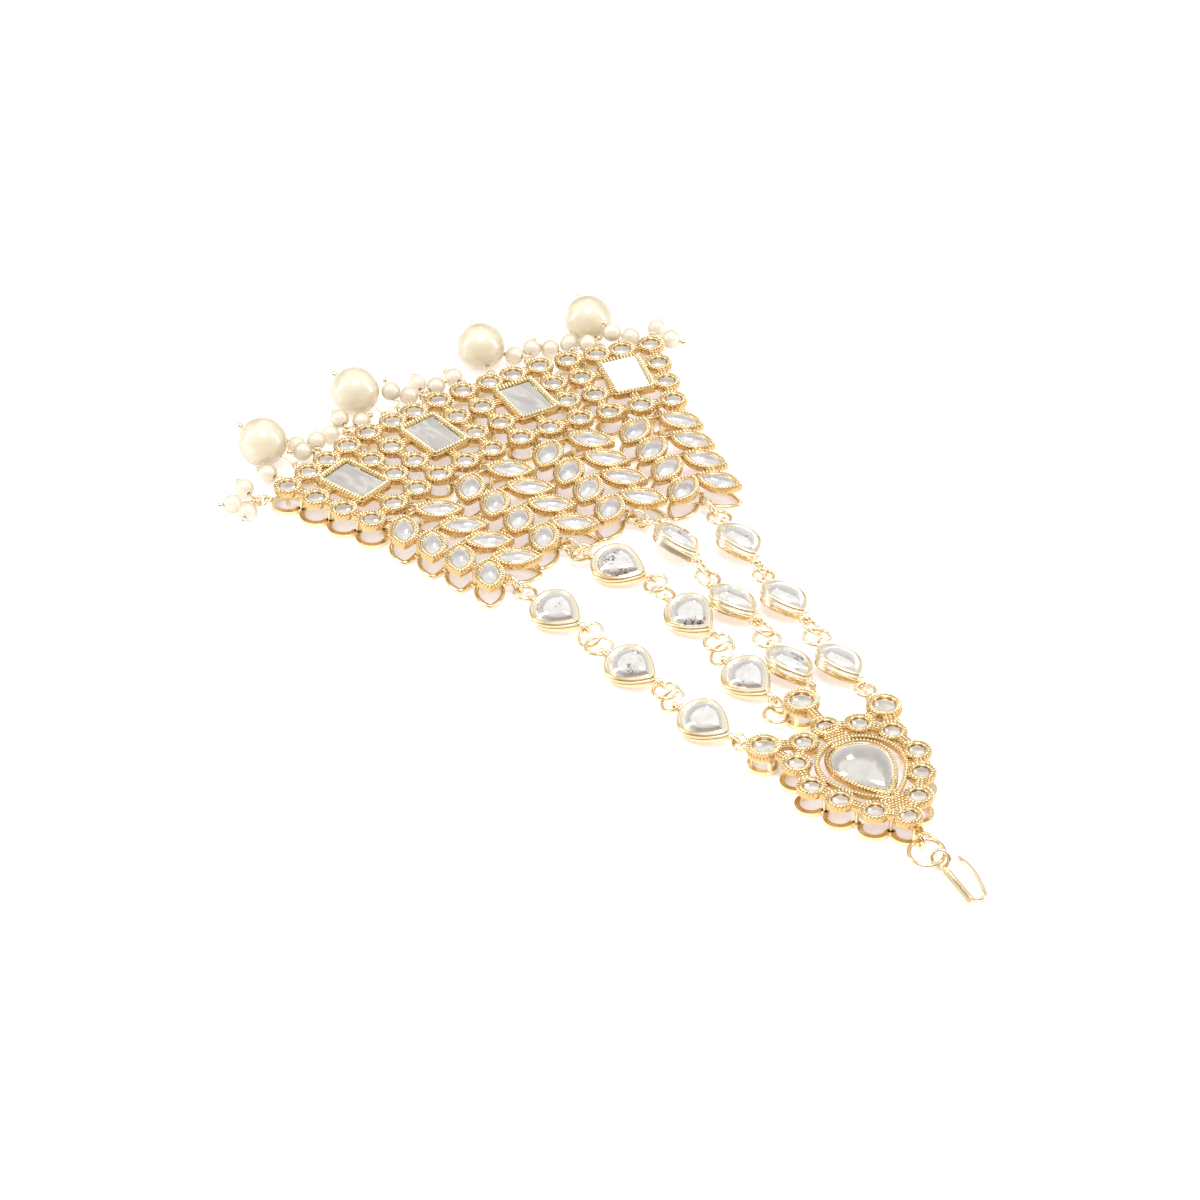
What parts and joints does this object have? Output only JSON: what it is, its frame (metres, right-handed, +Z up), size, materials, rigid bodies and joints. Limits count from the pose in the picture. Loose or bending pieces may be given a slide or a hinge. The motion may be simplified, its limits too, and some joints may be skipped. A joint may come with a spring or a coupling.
{
  "type": "passa jhoomar headpiece",
  "caption": "Side-worn head ornament: a fan of stone-set panels edged with pearls, hung by strands of pear links from a plaque with a wire hook.",
  "frame": {"origin": "middle of the bounding box on the surface it lies on", "axes": "+Z up out of the stones, +Y along the fan towards the hook, the pearls at -Y"},
  "size_m": [0.0886, 0.1611, 0.008],
  "materials": {
    "gold_plate": "polished pale gold plating over cast alloy",
    "foiled_glass": "clear cut glass with a silver foil back",
    "flat_stone": "polished grey stone slab with fine veins",
    "pearl": "cream imitation pearl"
  },
  "bodies": {
    "root": {"square_panel_1": "gold_plate", "square_panel_2": "gold_plate", "square_panel_3": "gold_plate", "square_panel_4": "gold_plate", "centre_stone_1": "flat_stone", "centre_stone_2": "flat_stone", "centre_stone_3": "flat_stone", "centre_stone_4": "flat_stone", "round_stones_1": "foiled_glass", "round_stones_2": "foiled_glass", "round_stones_3": "foiled_glass", "round_stones_4": "foiled_glass", "leaf_panel_1": "gold_plate", "leaf_panel_2": "gold_plate", "leaf_panel_3": "gold_plate", "leaf_panel_4": "gold_plate", "leaf_stones_1": "foiled_glass", "leaf_stones_2": "foiled_glass", "leaf_stones_3": "foiled_glass", "leaf_stones_4": "foiled_glass", "panel_rings": "gold_plate", "link_1_1": "gold_plate", "link_1_2": "gold_plate", "link_1_3": "gold_plate", "link_2_1": "gold_plate", "link_2_2": "gold_plate", "link_2_3": "gold_plate", "link_3_1": "gold_plate", "link_3_2": "gold_plate", "link_3_3": "gold_plate", "link_4_1": "gold_plate", "link_4_2": "gold_plate", "link_4_3": "gold_plate", "link_stones_1": "foiled_glass", "link_stones_2": "foiled_glass", "link_stones_3": "foiled_glass", "link_stones_4": "foiled_glass", "strand_rings_1": "gold_plate", "strand_rings_2": "gold_plate", "strand_rings_3": "gold_plate", "strand_rings_4": "gold_plate", "apex_plaque": "gold_plate", "apex_stone": "foiled_glass", "apex_round_stones": "foiled_glass", "ear_stones": "foiled_glass", "hook_ring": "gold_plate", "hook": "gold_plate", "large_pearl_1": "pearl", "large_pearl_2": "pearl", "large_pearl_3": "pearl", "large_pearl_4": "pearl", "small_pearls": "pearl", "pearl_pins": "gold_plate", "pearl_rings": "gold_plate"}
  },
  "joints": []
}
